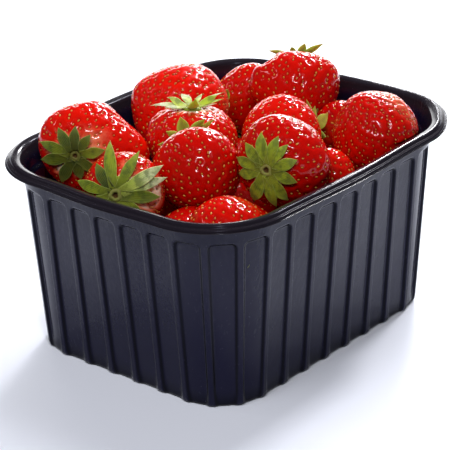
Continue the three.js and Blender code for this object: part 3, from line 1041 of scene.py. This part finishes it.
def leaf_finish():
    """Soft green leaf with fine veins along it, painted shade towards the roots of the sepals, a paler
    underside that is painted paler still as the glow of backlit leaves, bleached tips that are partly a
    painted sheen, yellow-green points, and the brown-hearted cut of the stem."""
    made = Finish("strawberry_leaf")
    along, across, shade, under, cut = made.own("along", "across", "shade", "under", "cut")
    cloud = made.noise(420, 3)
    vein = (across * 11.0 + along * 2.0).sine().absolute()
    # bleached tips, partly dried leaf and partly a painted sheen of the light behind
    bleached_and_sheen = shade.band(1.0, 2.0) * (0.15 + along.band(0.3, 0.85) * 0.85)
    # the colour of the painted shade at the sepals' roots
    root = made.mix(shade, rgb(36, 42, 12), rgb(132, 142, 46))
    stem = made.mix(shade, rgb(74, 70, 26), rgb(156, 160, 84))
    colour = made.layered(
        made.mix(shade, rgb(60, 62, 16), rgb(164, 180, 44)),
        (bleached_and_sheen, rgb(214, 218, 190)),
        (cloud.band(0.38, 0.64) * 0.6, rgb(52, 66, 30)),
        (vein.band(0.35, 0.0) * 0.35, rgb(150, 172, 92)),
        (along.band(0.55, 1.0) * 0.35, rgb(150, 160, 72)),
        # painted shade: the sepals darkened towards their roots, where they crowd the hub
        (along.band(0.45, 0.1) * 0.5, root),
        (across.absolute().band(0.8, 1.0) * 0.35, rgb(160, 170, 96)),
        # a paler underside, made paler still as a painted glow of backlit leaves
        (under * 0.5, rgb(186, 202, 104)),
        (cut.band(0.2, 0.9), stem),
        (cut.band(1.0, 1.28), rgb(76, 52, 22)),
    )
    return made.surface(
        Base_Color=colour,
        Roughness=0.5 + cloud * 0.15,
        Normal=made.bump(vein * 0.6 + cloud * 0.5, 0.00012, 0.6),
        Specular_IOR_Level=0.25,
        Subsurface_Weight=0.25,
        Subsurface_Radius=(0.0008, 0.0012, 0.0003),
        Subsurface_Scale=1.0,
    )


def plastic_finish():
    """Glossy blue-black sheet, with the faint smears and rubbed scratches of handling. It is duller where it
    bends, towards the foot and at two scuffed corners of the rim. Where it bends it is also painted darker, a
    painted shade, and the rim is painted a paler, less blue grey, a painted sheen."""
    made = Finish("tray_plastic")
    [dull] = made.own("dull")
    place = {0: made.place()}
    along_x, along_y, height = (made.node("ShaderNodeSeparateXYZ", axis, place) for axis in range(3))
    at_rim = height.band(0.066, 0.070)
    smear = made.noise(26, 4, 0.6)
    streak = made.noise(22, 4, vector=made.stretched((0.02, 0.02, 0.5), (0, 24, 20)))
    colour = made.layered(
        rgb(18, 17, 40),
        # painted shade: the bends of the rib flanks painted near black
        (dull, rgb(13, 12, 16)),
        # painted sheen: the rim painted a paler, less blue grey
        (at_rim, rgb(30, 26, 33)),
        (made.noise(1500, 1).band(0.72, 0.8) * 0.3, rgb(80, 80, 100)),
    )
    polish = 0.14 + height.band(0.004, 0.052) * 0.22 + at_rim * 0.22
    rubbed = 0.86 + streak.band(0.42, 0.66) * 0.3
    scuffed = (along_y - along_x).absolute().band(0.086, 0.100) * at_rim
    gloss = polish * rubbed * (1.0 - dull.band(0.1, 0.8)) * (1.0 - scuffed * 0.75)
    return made.surface(
        Base_Color=colour,
        Roughness=0.16 + smear.band(0.4, 0.75) * 0.1 + streak.band(0.52, 0.75) * 0.1,
        Normal=made.bump(made.noise(70, 2), 0.0004, 0.25),
        Specular_IOR_Level=0.10,
        Specular_Tint=(0.70, 0.74, 1.0, 1.0),
        Coat_Weight=gloss,
        Coat_Roughness=0.06,
    )


# -------- building

tray_skin().piece("tray_shell", plastic_finish(), "tray_plastic", ["punnet_tray"])

FLESH = flesh_finish()
BERRIES_TO_A_PIECE = 3
for number, berry in enumerate(SHOWN, 1):
    berry.number = number
for first in range(0, len(SHOWN), BERRIES_TO_A_PIECE):
    group = Batch()
    for berry in SHOWN[first:first + BERRIES_TO_A_PIECE]:
        flesh(group, berry)
    name = f"berries_{first // BERRIES_TO_A_PIECE + 1}"
    group.piece(name, FLESH, "berry_flesh", ["strawberry_heap"])

fillers = filler_berries()
lower = Batch()
for berry in fillers:
    flesh(lower, berry, LOWER_DETAIL)
lower.piece("berries_below", FLESH, "berry_flesh", ["strawberry_heap"])
core_skin().piece("berries_core", FLESH, "berry_flesh", ["strawberry_heap"])

seed_batch = Batch()
for berry in SHOWN:
    seeds(seed_batch, berry)
for berry in fillers:
    seeds(seed_batch, berry, FILLER_SEEDS_FACE)
seed_batch.piece("berry_seeds", seed_finish(), "berry_seed")

leaf_batch = Batch()
for berry in SHOWN:
    calyx(leaf_batch, berry, berry.leaves or loose_calyx(berry.number, *berry.loose))
leaf_batch.piece("berry_leaves", leaf_finish(), "berry_leaf")


# -------- studio

def stand(thing, right, up, near, place):
    """Puts a camera or light at a place in metres, looking away from near."""
    columns = np.column_stack([right, up, near, place])
    thing.matrix_world = Matrix([*columns.tolist(), [0, 0, 0, 1]])


def add_camera():
    """The camera at its distance from the target, along the viewer's near direction."""
    lens = bpy.data.cameras.new("camera")
    lens.lens = CAMERA_LENS
    lens.sensor_width = CAMERA_SENSOR
    lens.shift_x, lens.shift_y = CAMERA_SHIFT
    camera = placed("camera", lens)
    stand(camera, RIGHT, UP, NEAR, (CAMERA_TARGET + NEAR * CAMERA_DISTANCE) * MM)
    bpy.context.scene.camera = camera


LIT_POINT = np.array([0, 0, 0.06])  # in metres


def add_light(name, way, distance, width, height, power, glossy=True):
    """A soft light in metres and watts, facing the heap from the way the viewer sees it. It shows in
    reflections if glossy."""
    lamp = bpy.data.lights.new(name, "AREA")
    lamp.shape = "RECTANGLE"
    lamp.size = width
    lamp.size_y = height
    lamp.energy = power
    light = placed(name, lamp)
    light.visible_glossy = glossy
    toward = seen(*way)
    side = unit(np.cross([0, 0, 1], toward))
    stand(light, side, np.cross(toward, side), toward, toward * distance + LIT_POINT)


def add_floor():
    """A wide, flat, plain pale floor under the punnet."""
    half = 4.0
    corners = [(-half, -half, 0), (half, -half, 0), (half, half, 0), (-half, half, 0)]
    mesh = bpy.data.meshes.new("floor")
    mesh.from_pydata(corners, [], [(0, 1, 2, 3)])
    mesh.materials.append(Finish("pale_floor").surface(Base_Color=(0.80, 0.825, 0.93, 1.0), Roughness=0.6))
    placed("floor", mesh)


def add_sky(strength):
    """Even pale light from all round."""
    world = bpy.data.worlds.new("studio")
    world.use_nodes = True
    sky = world.node_tree.nodes["Background"]
    sky.inputs[0].default_value = (0.95, 0.97, 1.0, 1.0)
    sky.inputs[1].default_value = strength
    bpy.context.scene.world = world


add_camera()
add_floor()
add_sky(0.06)
add_light("window_right", (0.42, 0.87, -0.20), 1.0, 0.14, 0.10, 4.6)
add_light("window_behind", (0.17, 0.78, -0.60), 1.0, 0.15, 0.11, 4.4)
add_light("backdrop", (0.02, 0.56, -0.83), 1.6, 1.7, 0.5, 11.0)
add_light("window_left", (-0.78, 0.58, 0.12), 1.0, 0.12, 0.08, 0.35)
add_light("window_front", (0.05, 0.40, 0.91), 1.0, 0.11, 0.11, 2.6)
add_light("fill_top", (0.15, 0.97, -0.15), 1.4, 0.7, 0.7, 13.0, glossy=False)
add_light("fill_front", (-0.30, 0.55, 0.78), 1.4, 0.9, 0.9, 11.0, glossy=False)
bpy.context.scene.view_settings.view_transform = "Standard"
